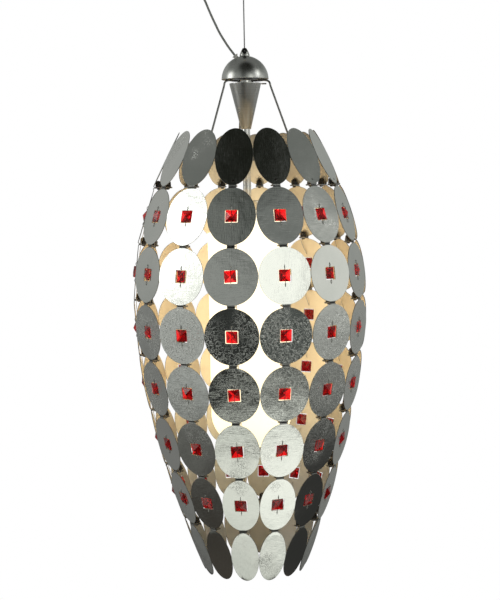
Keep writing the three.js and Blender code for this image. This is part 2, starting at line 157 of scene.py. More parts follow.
FITTER = metres(radius=43.5, wall=1.2, hole=5.3, corner=0.9)
FITTER_SCREW = metres(z=-313, seat=45.5, head=3, height=5, shank=1.6, tip=39.8, hole=2)
FITTER_KNURLS = 18
HOLDER = metres(hole=2, bore=14.6, radius=19, shoulder=15, crown=4, slope=6, edge=0.8)
HOLDER_GROOVE = metres(radius=18.4, low=9, high=12.6, slope=0.6)
THREAD = metres(radius=12.4, depth=0.6, end=4)
THREAD_TURNS = 7
THREAD_STEPS = 8  # points on one turn of the thread
CONTACT = metres(shoulder=8, drop=2, rim=4, rise=1.4, tip=3.6)
BULB = metres(radius=30, base=13)
THROAT_OUTLINE = ((20, -18), (16, -11), (13.4, -4))  # from the bulb's base down
NECK = metres(radius=39.5, end=-322)
GLASS = metres(radius=51, wall=2.5, shoulder=-346, tangent=-576)

FLOOR_Z = -2.2
FLOOR_RADIUS = 2.0
LIGHT_TARGET = Vector((0, 0, -0.45))


# ---- Camera: level with the shade's top, looking a little down, with a slight roll ----

def make_camera():
    data = bpy.data.cameras.new("camera")
    data.lens = 79.1
    data.sensor_width = 36
    camera = bpy.data.objects.new("camera", data)
    bpy.context.scene.collection.objects.link(camera)
    look_down = Matrix.Rotation(math.radians(90 - 4.8), 4, "X")
    roll = Matrix.Rotation(math.radians(-1.1), 4, "Z")
    yaw = Matrix.Rotation(math.radians(-0.03), 4, "Z")
    camera.matrix_world = Matrix.Translation((0, -1.6654, -0.292)) @ yaw @ look_down @ roll
    bpy.context.scene.camera = camera


make_camera()


# ---- Materials ----

class Nodes:
    """Short calls to add and link the nodes of a material or of the world."""

    def __init__(self, tree):
        self.nodes = tree.nodes
        self.links = tree.links

    def add(self, kind, inputs=None, **settings):
        node = self.nodes.new("ShaderNode" + kind)
        for key, value in settings.items():
            setattr(node, key, value)
        for key, value in (inputs or {}).items():
            self.feed(node.inputs[key], value)
        return node

    def feed(self, socket, value):
        if isinstance(value, bpy.types.NodeSocket):
            self.links.new(value, socket)
        else:
            socket.default_value = value

    def math(self, operation, first, second=0.0):
        return self.add("Math", {0: first, 1: second}, operation=operation).outputs[0]

    def away(self, value, middle):
        """How far a value is from a middle one."""
        return self.math("ABSOLUTE", self.math("SUBTRACT", value, middle))

    def span(self, value, low, high, to_low, to_high):
        names = ("Value", "From Min", "From Max", "To Min", "To Max")
        return self.add("MapRange", dict(zip(names, (value, low, high, to_low, to_high)))).outputs[0]

    def mix(self, factor, first, second):
        return self.add("Mix", {0: factor, 6: first, 7: second}, data_type="RGBA").outputs[2]


class Shader(Nodes):
    """A node material with one Principled shader."""

    def __init__(self, name, **sockets):
        self.material = bpy.data.materials.new(name)
        self.material.use_nodes = True
        super().__init__(self.material.node_tree)
        self.principled = self.nodes["Principled BSDF"]
        for socket, value in sockets.items():
            self.principled.inputs[socket.replace("_", " ")].default_value = value

    def set(self, socket, value):
        self.feed(self.principled.inputs[socket], value)

    def bump(self, height, distance, strength=1.0, below=None):
        node = self.add("Bump", {"Height": height, "Distance": distance, "Strength": strength})
        if below is not None:
            self.feed(node.inputs["Normal"], below)
        return node.outputs["Normal"]

    def noise(self, vector, scale, detail=4, roughness=0.6, distortion=0.0):
        names = ("Vector", "Scale", "Detail", "Roughness", "Distortion")
        values = (vector, scale, detail, roughness, distortion)
        return self.add("TexNoise", dict(zip(names, values))).outputs["Fac"]

    def stretch(self, vector, factors):
        return self.add("VectorMath", {0: vector, 1: factors}, operation="MULTIPLY").outputs[0]

    def place(self):
        return self.add("TexCoord").outputs["Object"]

    def axes(self):
        """The place's three coordinates."""
        return self.add("SeparateXYZ", {0: self.place()}).outputs

    def unrolled(self):
        """The place on the shade as if it were unrolled flat: the way round, then the height."""
        x, y, z = self.axes()
        angle = self.math("ARCTAN2", x, self.math("MULTIPLY", y, -1.0))
        around = self.math("MULTIPLY", angle, 0.12)
        return self.add("CombineXYZ", {0: around, 1: z}).outputs[0]

    def rings(self):
        """A place that changes only with height and with distance from the lamp's axis, for turned metal."""
        x, y, z = self.axes()
        square = self.math("ADD", self.math("POWER", x, 2.0), self.math("POWER", y, 2.0))
        return self.add("CombineXYZ", {0: self.math("SQRT", square), 1: z}).outputs[0]


def rgba(red, green, blue):
    return (red, green, blue, 1.0)


def darker(color, share):
    return rgba(*(share * part for part in color))


def crinkles(shader, place, patch):
    """Where the leaf is crinkled, most of all in the middle rows, and the creases there."""
    from_middle = shader.away(shader.axes()[2], SHADE_TOP - 4.0 * ROW_PITCH)
    middle = shader.span(from_middle, 0.7 * ROW_PITCH, 1.4 * ROW_PITCH, 0.30, 0.0)
    crinkled = shader.span(shader.math("ADD", patch, middle), 0.60, 0.84, 0.0, 1.0)
    worms = shader.noise(place, 270, 1, 0.5, 1.2)
    ridge = shader.span(shader.away(worms, 0.5), 0.010, 0.035, 1.0, 0.0)
    clump = shader.span(shader.noise(place, 95, 2), 0.36, 0.56, 0.62, 1.0)
    crease = shader.math("MULTIPLY", shader.math("MULTIPLY", ridge, clump), crinkled)
    return crinkled, crease


def cross_lines(shader):
    """Fine lines both ways, as on rolled sheet."""
    unrolled = shader.unrolled()
    across = shader.noise(shader.stretch(unrolled, (70, 1100, 70)), 1.0, 2)
    upright = shader.noise(shader.stretch(unrolled, (1100, 70, 70)), 1.0, 2)
    return shader.math("ADD", across, upright)


def leaf_outer():
    """Silver leaf over thin sheet: soft waves, fine cross lines, and crinkles that catch the light."""
    shader = Shader("silver_leaf_outer", Metallic=1.0)
    place = shader.place()
    patch = shader.noise(place, 14, 2)
    crinkled, crease = crinkles(shader, place, patch)
    breaks = shader.span(shader.noise(place, 850, 4, 0.7, 1.2), 0.33, 0.45, 1.0, 0.0)
    speck = shader.math("MULTIPLY", breaks, shader.span(crinkled, 0.0, 1.0, 0.15, 1.0))
    lightness = shader.span(patch, 0.35, 0.65, 0.0, 1.0)
    tone = shader.mix(lightness, rgba(0.72, 0.74, 0.71), rgba(0.80, 0.81, 0.78))
    shader.set("Base Color", shader.mix(speck, tone, rgba(0.42, 0.44, 0.42)))
    smooth = shader.span(patch, 0.3, 0.7, 0.10, 0.17)
    shader.set("Roughness", shader.math("ADD", smooth, shader.math("MULTIPLY", crease, 0.50)))
    waves = shader.bump(shader.noise(place, 60, 2), 0.00026)
    lines = shader.bump(cross_lines(shader), 0.00007, 1.0, waves)
    shader.set("Normal", shader.bump(crease, 0.00012, 1.0, lines))
    return shader.material


def leaf_inner():
    """The inner faces: warm satin leaf that takes the lamp's light softly, with painted shade that makes it
    darker and greyer towards both ends, away from the lamp.
    """
    shader = Shader("silver_leaf_inner", Metallic=0.6)
    place = shader.place()
    wrinkle = shader.noise(place, 380, 4, 0.6, 1.0)
    tone = shader.span(shader.noise(place, 50, 3), 0.3, 0.7, 0.0, 1.0)
    warm_leaf_and_painted_glow = shader.mix(tone, rgba(0.86, 0.75, 0.57), rgba(0.96, 0.85, 0.65))
    painted_shade_grey = shader.mix(tone, rgba(0.50, 0.49, 0.455), rgba(0.60, 0.585, 0.54))
    # Painted lamp light and shade: the base colour is warm near the lamp's height and turns darker grey
    # towards both ends.
    from_light = shader.away(shader.axes()[2], SHADE_TOP - 3.2 * ROW_PITCH)
    painted_shade_share = shader.span(from_light, 1.3 * ROW_PITCH, 3.4 * ROW_PITCH, 0.0, 1.0)
    shader.set("Base Color", shader.mix(painted_shade_share, warm_leaf_and_painted_glow, painted_shade_grey))
    shader.set("Roughness", shader.span(wrinkle, 0.3, 0.7, 0.36, 0.48))
    shader.set("Normal", shader.bump(wrinkle, 0.00008))
    return shader.material


def leaf_edge():
    """The cut edges, where the bare metal shows."""
    shader = Shader("disc_edge", Metallic=1.0)
    grain = shader.noise(shader.place(), 1500, 2)
    shader.set("Base Color", shader.mix(grain, rgba(0.16, 0.16, 0.155), rgba(0.34, 0.335, 0.32)))
    shader.set("Roughness", shader.span(grain, 0.3, 0.7, 0.30, 0.50))
    return shader.material


def turned_metal(name, color, roughness, scale, depth):
    """Metal finished on a lathe: very fine rings round the lamp's axis, and faint handling marks."""
    shader = Shader(name, Metallic=1.0)
    lines = shader.noise(shader.rings(), scale, 3, 0.65)
    marks = shader.noise(shader.place(), 70, 4)
    shade = shader.span(lines, 0.3, 0.7, 0.0, 1.0)
    shader.set("Base Color", shader.mix(shade, darker(color, 0.82), rgba(*color)))
    shader.set("Roughness", shader.span(marks, 0.3, 0.7, roughness - 0.05, roughness + 0.07))
    shader.set("Normal", shader.bump(lines, depth, 0.35))
    return shader.material


def plain_metal(name, color, roughness):
    """Drawn or plated metal with faint pitting and uneven gloss."""
    shader = Shader(name, Metallic=1.0)
    place = shader.place()
    marks = shader.noise(place, 180, 4)
    pits = shader.noise(place, 2500, 2)
    shader.set("Base Color", shader.mix(marks, darker(color, 0.8), rgba(*color)))
    shader.set("Roughness", shader.span(marks, 0.3, 0.7, roughness - 0.05, roughness + 0.08))
    shader.set("Normal", shader.bump(pits, 0.00006, 0.4))
    return shader.material


def stranded_steel():
    """Six strands twisted round the cable, as slanting ridges, with painted shade darkening the grooves
    between them.
    """
    shader = Shader("stranded_steel", Metallic=1.0)
    x, y, z = shader.axes()
    angle = shader.math("ARCTAN2", y, x)
    lay = shader.math("ADD", shader.math("MULTIPLY", angle, 6.0), shader.math("MULTIPLY", z, 3600.0))
    ridge = shader.math("ABSOLUTE", shader.math("SINE", shader.math("MULTIPLY", lay, 0.5)))
    # Painted shade: the base colour is darker in the grooves between the strands.
    shader.set("Base Color", shader.mix(ridge, rgba(0.16, 0.16, 0.16), rgba(0.34, 0.34, 0.35)))
    shader.set("Roughness", shader.span(ridge, 0.0, 1.0, 0.55, 0.30))
    shader.set("Normal", shader.bump(ridge, 0.0002, 0.5))
    return shader.material


def moulded(name, color, roughness, speck=0.10, **sockets):
    """Moulded plastic, rubber, paint or glaze, with a slightly uneven skin."""
    shader = Shader(name, **sockets)
    place = shader.place()
    skin = shader.noise(place, 1300, 3)
    cloud = shader.noise(place, 120, 3)
    shader.set("Base Color", shader.mix(cloud, darker(color, 1 - speck), rgba(*color)))
    shader.set("Roughness", shader.span(cloud, 0.3, 0.7, roughness - 0.06, roughness + 0.06))
    shader.set("Normal", shader.bump(skin, 0.00008, 0.4))
    return shader.material


def red_crystal():
    """Clear red cut glass, with a slightly uneven colour and a few tiny marks on the facets."""
    shader = Shader("red_crystal", Transmission_Weight=0.9, IOR=1.5)
    place = shader.place()
    tone = shader.span(shader.noise(place, 160, 2), 0.35, 0.65, 0.0, 1.0)
    marks = shader.noise(place, 1800, 2)
    shader.set("Base Color", shader.mix(tone, rgba(0.56, 0.005, 0.010), rgba(0.74, 0.013, 0.018)))
    shader.set("Roughness", shader.span(marks, 0.55, 0.8, 0.0, 0.08))
    return shader.material


def opal_glass():
    """Opal glass lit from inside: brightest beside the bulb, dimmer and warmer towards both ends."""
    low, high = heights("diffuser_glass")
    shader = Shader("opal_glass", Emission_Strength=1.5, Specular_IOR_Level=0.4)
    from_bulb = shader.away(shader.axes()[2], sum(heights("bulb_glass")) / 2)
    dim = shader.span(from_bulb, 0.0, 0.7 * (high - low), 0.0, 1.0)
    cloud = shader.noise(shader.place(), 30, 3)
    shader.set("Emission Color", shader.mix(dim, rgba(1.0, 0.88, 0.66), rgba(0.84, 0.74, 0.48)))
    shader.set("Base Color", shader.mix(cloud, rgba(0.93, 0.90, 0.84), rgba(0.99, 0.97, 0.92)))
    shader.set("Roughness", shader.span(cloud, 0.3, 0.7, 0.22, 0.34))
    return shader.material


def frosted_bulb():
    """Frosted glass, lit from inside."""
    shader = Shader("frosted_bulb", Emission_Strength=4.0)
    frost = shader.noise(shader.place(), 900, 3)
    shader.set("Emission Color", shader.mix(frost, rgba(1.0, 0.90, 0.72), rgba(1.0, 0.94, 0.80)))
    shader.set("Base Color", shader.mix(frost, rgba(0.9, 0.9, 0.88), rgba(1, 1, 1)))
    shader.set("Roughness", shader.span(frost, 0.3, 0.7, 0.4, 0.55))
    return shader.material


LEAF = [leaf_outer(), leaf_inner(), leaf_edge(), plain_metal("tab_metal", (0.34, 0.345, 0.335), 0.30)]
OUTER, INNER, EDGE, TAB_METAL = range(4)  # places in LEAF
NICKEL = turned_metal("satin_nickel", (0.66, 0.67, 0.65), 0.28, 2600, 0.00001)
BRUSHED = turned_metal("brushed_nickel", (0.66, 0.66, 0.64), 0.29, 1600, 0.00001)
CEILING_NICKEL = turned_metal("dull_nickel", (0.70, 0.70, 0.68), 0.42, 900, 0.00002)
BRIGHT = turned_metal("bright_nickel", (0.86, 0.86, 0.84), 0.10, 1200, 0.00001)
ROD = plain_metal("arm_nickel", (0.34, 0.34, 0.33), 0.26)
ZINC = plain_metal("zinc_plate", (0.60, 0.61, 0.62), 0.36)
BRASS = plain_metal("turned_brass", (0.78, 0.60, 0.30), 0.30)
BLACK_STEEL = plain_metal("black_steel", (0.035, 0.035, 0.035), 0.34)
WIRE_METAL = plain_metal("crystal_wire", (0.50, 0.49, 0.47), 0.35)
STRANDS = stranded_steel()
PRIMER = moulded("grey_primer", (0.80, 0.80, 0.78), 0.55)
BLACK_PLASTIC = moulded("black_cap", (0.020, 0.016, 0.012), 0.24)
WHITE_PLASTIC = moulded("white_plastic", (0.82, 0.81, 0.77), 0.42)
PORCELAIN = moulded("porcelain", (0.86, 0.85, 0.81), 0.14)
CORD_SKIN = moulded("cord_skin", (0.36, 0.37, 0.36), 0.26, 0.25)
RED = red_crystal()
OPAL = opal_glass()
FROSTED = frosted_bulb()


# ---- Mesh helpers ----

def polar(radius, azimuth, z):
    """A point at a distance from the axis, with the azimuth counted from the front towards +X."""
    return Vector((radius * math.sin(azimuth), -radius * math.cos(azimuth), z))


def side_matrix(azimuth, z):
    """Turns a piece made about +Z so that it points outwards along a radius."""
    outwards = Matrix.Rotation(azimuth, 4, "Z") @ Matrix.Rotation(math.pi / 2, 4, "X")
    return Matrix.Translation((0, 0, z)) @ outwards


def finish_mesh(name, builder, materials, sharp=35):
    """Makes an object of a bmesh, smooth except at edges sharper than the given angle."""
    bmesh.ops.recalc_face_normals(builder, faces=builder.faces)
    mesh = bpy.data.meshes.new(name)
    builder.to_mesh(mesh)
    builder.free()
    for material in materials:
        mesh.materials.append(material)
    return mesh_object(name, mesh, sharp)


def mesh_object(name, mesh, sharp):
    mesh.polygons.foreach_set("use_smooth", [True] * len(mesh.polygons))
    mesh.set_sharp_from_angle(angle=math.radians(sharp))
    piece = bpy.data.objects.new(name, mesh)
    bpy.context.scene.collection.objects.link(piece)
    return piece


def arc(radius, start, end, steps, z):
    """An outline's arc about a point on the axis, between two angles from the horizontal."""
    angles = [start + (end - start) * i / steps for i in range(steps + 1)]
    return [(radius * math.cos(angle), z + radius * math.sin(angle)) for angle in angles]


def profile(points, base=0.0):
    """An outline given in millimetres, with its heights counted from a base."""
    return [(radius * MM, base + z * MM) for radius, z in points]


def chamfered(radius, low, high, chamfer):
    """The outline of a plug with a small chamfer at both ends."""
    inset = radius - chamfer
    side = [(radius, low + chamfer), (radius, high - chamfer)]
    return [(0, low), (inset, low)] + side + [(inset, high), (0, high)]


def sleeve(radius, bore, low, high):
    """The closed outline of a washer or tube."""
    return [(bore, low), (radius, low), (radius, high), (bore, high), (bore, low)]


def rounded(corners, radius, steps=4):
    """Rounds each inner corner of an outline with a short curve."""
    points = [Vector(corner) for corner in corners]
    result = [points[0]]
    for before, corner, after in zip(points, points[1:], points[2:]):
        first = before - corner
        second = after - corner
        reach = min(radius, first.length * 0.45, second.length * 0.45)
        start = corner + first.normalized() * reach
        end = corner + second.normalized() * reach
        for step in range(steps + 1):
            t = step / steps
            result.append((1 - t) ** 2 * start + 2 * t * (1 - t) * corner + t ** 2 * end)
    result.append(points[-1])
    return [(point.x, point.y) for point in result]


def add_turned(builder, outline, segments=96, matrix=None, material=0):
    """Adds a body of revolution about +Z from [radius, z] points. A point on the axis makes a pole."""
    rows = []
    for radius, z in outline:
        if radius < 1e-7:
            rows.append([builder.verts.new((0, 0, z))])
        else:
            turn = [2 * math.pi * i / segments for i in range(segments)]
            rows.append([builder.verts.new((radius * math.cos(a), radius * math.sin(a), z)) for a in turn])
    for first, second in zip(rows, rows[1:]):
        for i in range(segments):
            j = (i + 1) % segments
            lower = [first[i % len(first)], first[j % len(first)]]
            upper = [second[j % len(second)], second[i % len(second)]]
            corners = list(dict.fromkeys(lower + upper))
            if len(corners) > 2:
                builder.faces.new(corners).material_index = material
    if matrix is not None:
        bmesh.ops.transform(builder, matrix=matrix, verts=[vertex for row in rows for vertex in row])


def turned_piece(name, outline, materials, segments=96, matrix=None, sharp=35):
    builder = bmesh.new()
    add_turned(builder, outline, segments, matrix)
    bmesh.ops.remove_doubles(builder, verts=builder.verts, dist=1e-7)
    return finish_mesh(name, builder, materials, sharp)


def drill(radius, low, high, sides, matrix=None):
    """A plain cylinder to cut a hole with."""
    return turned_piece("drill", [(0, low), (radius, low), (radius, high), (0, high)], [], sides, matrix)


def cut_with(piece, cutter):
    """Cuts one object out of another, and removes the cutter."""
    modifier = piece.modifiers.new("cut", "BOOLEAN")
    modifier.operation = "DIFFERENCE"
    modifier.solver = "EXACT"
    modifier.object = cutter
    graph = bpy.context.evaluated_depsgraph_get()
    mesh = bpy.data.meshes.new_from_object(piece.evaluated_get(graph))
    piece.modifiers.clear()
    old = piece.data
    piece.data = mesh
    bpy.data.meshes.remove(old)
    bpy.data.objects.remove(cutter)


def tube_piece(name, points, radius, material, closed_loop=False, resolution=5):
    """A round rod along smooth points, as a bevelled curve turned into a mesh."""
    curve = bpy.data.curves.new(name, "CURVE")
    curve.dimensions = "3D"
    curve.bevel_depth = radius
    curve.bevel_resolution = resolution
    curve.use_fill_caps = True
    curve.resolution_u = 8
    spline = curve.splines.new("BEZIER")
    spline.bezier_points.add(len(points) - 1)
    for place, point in zip(points, spline.bezier_points):
        point.co = place
        point.handle_left_type = point.handle_right_type = "AUTO"
    spline.use_cyclic_u = closed_loop
    carrier = bpy.data.objects.new(name + "_curve", curve)
    bpy.context.scene.collection.objects.link(carrier)
    graph = bpy.context.evaluated_depsgraph_get()
    mesh = bpy.data.meshes.new_from_object(carrier.evaluated_get(graph))
    bpy.data.objects.remove(carrier)
    mesh.name = name
    mesh.materials.clear()
    mesh.materials.append(material)
    return mesh_object(name, mesh, 40)


def stand_for(piece, body, slot, *nodes):
    """Says what the piece rides on and the CAD nodes that it is the fine shape of; slot, its finish, is not
    used.
    """
    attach(piece, body)
    if nodes:
        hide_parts(*nodes)
    return piece


def turned_part(node, body, slot, outline, material, segments=96, matrix=None, sharp=35, holes=()):
    """A turned piece with its holes cut out, that stands for a CAD node."""
    piece = turned_piece(node + "_fine", outline, [material], segments, matrix, sharp)
    for hole in holes:
        cut_with(piece, hole)
    return stand_for(piece, body, slot, node)


# ---- Cable and cord ----

def make_power_cord():
    """The cord in two pieces: a fixed end up in the gland, and the part that hangs below the swing's axis."""
    points = [Vector(point) * MM for point in CORD_ROUTE]
    fixed_end = tube_piece("power_cord_end_fine", points[:CORD_HINGE + 1], CORD_RADIUS, CORD_SKIN)
    stand_for(fixed_end, "root", "cord_grey")
    hanging = points[CORD_HINGE:]
    cord = tube_piece("power_cord_fine", hanging, CORD_RADIUS, CORD_SKIN)
    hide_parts("power_cord")
    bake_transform(cord)


def make_steel_cable():
    top = PIVOT_Z - BALL_RADIUS - CABLE.gap
    steps = 15
    points = [Vector((0, 0, top + (CABLE.end - top) * i / steps)) for i in range(steps + 1)]
    cable = tube_piece("steel_cable_fine", points, CABLE.radius, STRANDS)
    stand_for(cable, "lamp", "steel_cable", "steel_cable")


make_power_cord()
make_steel_cable()


# ---- Screws ----

def knurl(builder, head):
    """Pulls every other line of a round head in, for a grip."""
    for vertex in builder.verts:
        x, y, z = vertex.co
        spoke = round(math.atan2(y, x) / (math.pi / FITTER_KNURLS))
        if spoke % 2 and math.hypot(x, y) > 0.8 * head:
            vertex.co = (0.92 * x, 0.92 * y, z)


def cut_slot(screw, size, matrix):
    """Cuts the screwdriver's slot across a head's face."""
    builder = bmesh.new()
    bmesh.ops.create_cube(builder, size=1)
    groove = Matrix.Diagonal((2.4 * size.head, 0.22 * size.head, 1.2 * MM, 1))
    face = Matrix.Translation((0, 0, size.seat + size.height))
    bmesh.ops.transform(builder, matrix=matrix @ face @ groove, verts=builder.verts)
    cut_with(screw, finish_mesh("groove", builder, [NICKEL]))


def make_side_screw(node, body, azimuth, size, knurled=False):
    """A screw along a radius: a round head with a slot, or a knurled one, on a plain shank."""
    builder = bmesh.new()
    sides = 2 * FITTER_KNURLS if knurled else 40
    add_turned(builder, chamfered(size.head, size.seat, size.seat + size.height, 0.35 * MM), sides)
    if knurled:
        knurl(builder, size.head)
    root = size.seat + 0.2 * MM
    shank = [(0, size.tip), (size.shank, size.tip + 0.3 * MM), (size.shank, root), (0, root)]
    add_turned(builder, shank, 24)
    matrix = side_matrix(azimuth, size.z)
    bmesh.ops.transform(builder, matrix=matrix, verts=builder.verts)
    screw = finish_mesh(node + "_fine", builder, [NICKEL], 30)
    if not knurled:
        cut_slot(screw, size, matrix)
    stand_for(screw, body, "satin_nickel", node)


# ---- Ceiling end ----

def make_ceiling_plate():
    low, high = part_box("ceiling_plate")
    outline = [(0, low[2]), (high[0], low[2]), (high[0], high[2]), (0, high[2])]
    turned_part("ceiling_plate", "root", "zinc_steel", rounded(outline, PLATE_EDGE), ZINC)


def make_canopy():
    low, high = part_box("ceiling_canopy")
    radius, bottom, top = high[0], low[2], high[2]
    inside = radius - CANOPY.wall
    floor = bottom + CANOPY.wall
    cup = [
        (CANOPY.bush_hole, floor), (CANOPY.bush_hole, bottom), (radius, bottom), (radius, top),
        (inside, top), (inside, floor), (CANOPY.bush_hole, floor),
    ]
    cord_hole = drill(CANOPY.cord_hole, bottom - MM, floor + MM, 40, Matrix.Translation((GLAND_X, 0, 0)))
    outline = rounded(cup, CANOPY.corner, 6)
    turned_part("ceiling_canopy", "root", "satin_nickel", outline, CEILING_NICKEL, 128, holes=[cord_hole])
    for index, azimuth in enumerate(CANOPY_SCREW_AZIMUTHS):
        make_side_screw(f"canopy_screw_{index + 1}", "root", math.radians(azimuth), CANOPY_SCREW)


def make_cord_gland():
    """A gland with a flared mouth, so that the cord can lean as it comes out."""
    place = Matrix.Translation((GLAND_X, 0, 0))
    turned_part("cord_gland", "root", "satin_nickel", profile(GLAND_OUTLINE), NICKEL, 64, place)


def make_cable_bush():
    """The bush that holds the ball. Its lower lip keeps the ball in and lets the cable lean."""
    turned_part("cable_bush", "root", "satin_nickel", profile(BUSH_OUTLINE), NICKEL, 72)
    ball = arc(BALL_RADIUS, -math.pi / 2, math.pi / 2, 24, PIVOT_Z)
    turned_part("cable_ball", "cable_ball", "brass", ball, BRASS, 48)


make_ceiling_plate()
make_canopy()
make_cord_gland()
make_cable_bush()


# ---- Head of the lamp: clamp, dome, hub and arms ----

def entry_matrix():
    """Stands a piece made about +Z on the dome's left shoulder, along the cord."""
    entry = Vector(CORD_ROUTE[CORD_ENTRY]) * MM
    return Matrix.Translation(entry) @ Matrix.Rotation(-CORD_LEAN, 4, "Y")


def make_clamp():
    """A small bell with a tail that goes down through the dome and the hub."""
    outline = [(CLAMP.bore, CLAMP.end), (CLAMP.tail, CLAMP.end), (CLAMP.tail, CLAMP.seat)]
    outline += profile(BELL_OUTLINE, CLAMP.seat) + [(CLAMP.bore, CLAMP.end)]
    place = side_matrix(0, SET_SCREW.z)
    screw_hole = drill(SET_SCREW.hole, SET_SCREW.hole_start, SET_SCREW.hole_end, 24, place)
    turned_part("cable_clamp", "lamp", "satin_nickel", outline, NICKEL, 72, holes=[screw_hole])


def make_set_screw():
    """A round cup-shaped head with a hexagon socket in it."""
    matrix = side_matrix(0, SET_SCREW.z)
    builder = bmesh.new()
    add_turned(builder, profile(HEAD_OUTLINE), 48, matrix)
    add_turned(builder, profile(SOCKET_OUTLINE), 6, matrix, 1)
    screw = finish_mesh("set_screw_fine", builder, [BLACK_STEEL, ZINC], 30)
    stand_for(screw, "set_screw", "black_steel", "set_screw")


def make_dome():
    """A half sphere of sheet, primed inside, with holes for the clamp's tail and the cord's bushing."""
    inside = DOME.radius - DOME.wall
    outer = arc(DOME.radius, 0.012, math.acos(DOME.hole / DOME.radius), 32, DOME.rim)
    inner = arc(inside, math.acos(DOME.hole / inside), 0.012, 28, DOME.rim)
    builder = bmesh.new()
    add_turned(builder, outer, 128)
    add_turned(builder, outer[-1:] + inner + outer[:1], 128, material=1)
    bmesh.ops.remove_doubles(builder, verts=builder.verts, dist=1e-7)
    dome = finish_mesh("dome_cap_fine", builder, [NICKEL, PRIMER])
    cut_with(dome, drill(DOME.cord_hole, -DOME.cord_hole_reach, DOME.cord_hole_reach, 48, entry_matrix()))
    stand_for(dome, "lamp", "satin_nickel", "dome_cap")


def make_bushing():
    """The plastic bushing that the cord goes through."""
    outline = profile(BUSHING_OUTLINE)
    turned_part("dome_bushing", "lamp", "white_plastic", outline, WHITE_PLASTIC, 48, entry_matrix())


def make_hub():
    """The plate that carries the dome, and the collar that holds the arms."""
    radius, low, high = extent("hub_plate")
    outline = rounded(sleeve(radius, HUB.bore, low, high), HUB.edge, 2)
    wire_hole = drill(HUB.wire_hole, low - MM, high + MM, 32, Matrix.Translation((HUB.wire_x, HUB.wire_y, 0)))
    turned_part("hub_plate", "lamp", "zinc_steel", outline, ZINC, 72, holes=[wire_hole])

    radius, low, high = extent("hub_collar")
    outline = rounded(sleeve(radius, HUB.bore, low, high), COLLAR.edge, 3)
    arm_holes = [
        drill(COLLAR.arm_hole, COLLAR.hole_start, COLLAR.hole_end, 24, side_matrix(azimuth, ARM.z))
        for azimuth in ARM_AZIMUTHS
    ]
    turned_part("hub_collar", "lamp", "bright_nickel", outline, BRIGHT, holes=arm_holes)


def arm_outline():
    """Level out of the collar, down at the knee, and a level foot on the carrier ring."""
    fall = ARM.z - ARM_FOOT_Z

    def leg(drop):
        return (ARM.knee + (ARM.foot - ARM.knee) * drop / fall, ARM.z - drop)

    top = [(ARM.start, ARM.z), (ARM.knee - 3 * ARM.bend, ARM.z), (ARM.knee - ARM.bend, ARM.z)]
    slant = [leg(ARM.bend / 2), leg(2 * ARM.bend)]
    slant += [leg(fall * quarter / 4) for quarter in (1, 2, 3)]
    slant.append(leg(fall - 3 * ARM.bend))
    foot = [(ARM.foot + ARM.bend / 2, ARM_FOOT_Z + ARM.bend / 2)]
    foot += [(radius, ARM_FOOT_Z) for radius in (ARM.foot + 2 * ARM.bend, ARM.end - 3 * ARM.bend, ARM.end)]
    return top + slant + foot


def make_arms():
    """The three bent arms, and the ring behind the top row that they carry."""
    for index, azimuth in enumerate(ARM_AZIMUTHS):
        points = [polar(radius, azimuth, z) for radius, z in arm_outline()]
        arm = tube_piece(f"arm_{index + 1}_fine", points, ARM.radius, ROD)
        stand_for(arm, "lamp", "satin_nickel", f"arm_{index + 1}")
    steps = 56
    points = [polar(RING.radius, 2 * math.pi * i / steps, ARM_FOOT_Z) for i in range(steps)]
    ring = tube_piece("carrier_ring_fine", points, RING.rod, ROD, closed_loop=True)
    stand_for(ring, "lamp", "satin_nickel", "carrier_ring")


def make_cone():
    """The lid in the cone's mouth, the cone with its small screw, and the stem below."""
    radius, low, high = extent("cone_lid")
    outline = rounded(sleeve(radius, LID.bore, low, high), LID.edge, 2)
    turned_part("cone_lid", "lamp", "zinc_steel", outline, ZINC, 72)

    low, high = heights("cone_shroud")
    shell = [
        (CONE.narrow - CONE.wall, low), (CONE.narrow, low), (CONE.wide, high - CONE.rim), (CONE.wide, high),
        (CONE.wide - CONE.wall, high), (CONE.narrow - CONE.wall, low),
    ]
    turned_part("cone_shroud", "lamp", "brushed_nickel", rounded(shell, CONE.edge, 2), BRUSHED, 112)

    outline = chamfered(CONE_SCREW.radius, CONE_SCREW.start, CONE_SCREW.end, CONE_SCREW.chamfer)
    matrix = Matrix.Translation((0, 0, CONE_SCREW.z)) @ Matrix.Rotation(math.pi / 2, 4, "Y")
    turned_part("cone_screw", "lamp", "zinc_steel", outline, ZINC, 24, matrix, 30)

    low, high = heights("stem_tube")
    turned_part("stem_tube", "lamp", "bright_nickel", sleeve(STEM.radius, STEM.bore, low, high), BRIGHT, 64)


make_clamp()
make_set_screw()
make_dome()
make_bushing()
make_hub()
make_arms()
make_cone()


# ---- Fitter, lamp holder, bulb and diffuser ----

def make_fitter():
    """The cap over the glass's neck, and the three knurled screws that hold the glass."""
    low, high = heights("fitter_cap")
    inside = FITTER.radius - FITTER.wall
    roof = high - FITTER.wall
    shell = [
        (FITTER.hole, roof), (inside, roof), (inside, low), (FITTER.radius, low), (FITTER.radius, high),
        (FITTER.hole, high), (FITTER.hole, roof),
    ]
    reach = (inside - FITTER.wall, FITTER.radius + FITTER.wall)
    places = [side_matrix(azimuth, FITTER_SCREW.z) for azimuth in ARM_AZIMUTHS]
    holes = [drill(FITTER_SCREW.hole, *reach, 24, place) for place in places]
    outline = rounded(shell, FITTER.corner, 5)
    turned_part("fitter_cap", "lamp", "bright_nickel", outline, BRIGHT, 112, holes=holes)
    for index, azimuth in enumerate(ARM_AZIMUTHS):
        make_side_screw(f"fitter_screw_{index + 1}", "lamp", azimuth, FITTER_SCREW, knurled=True)


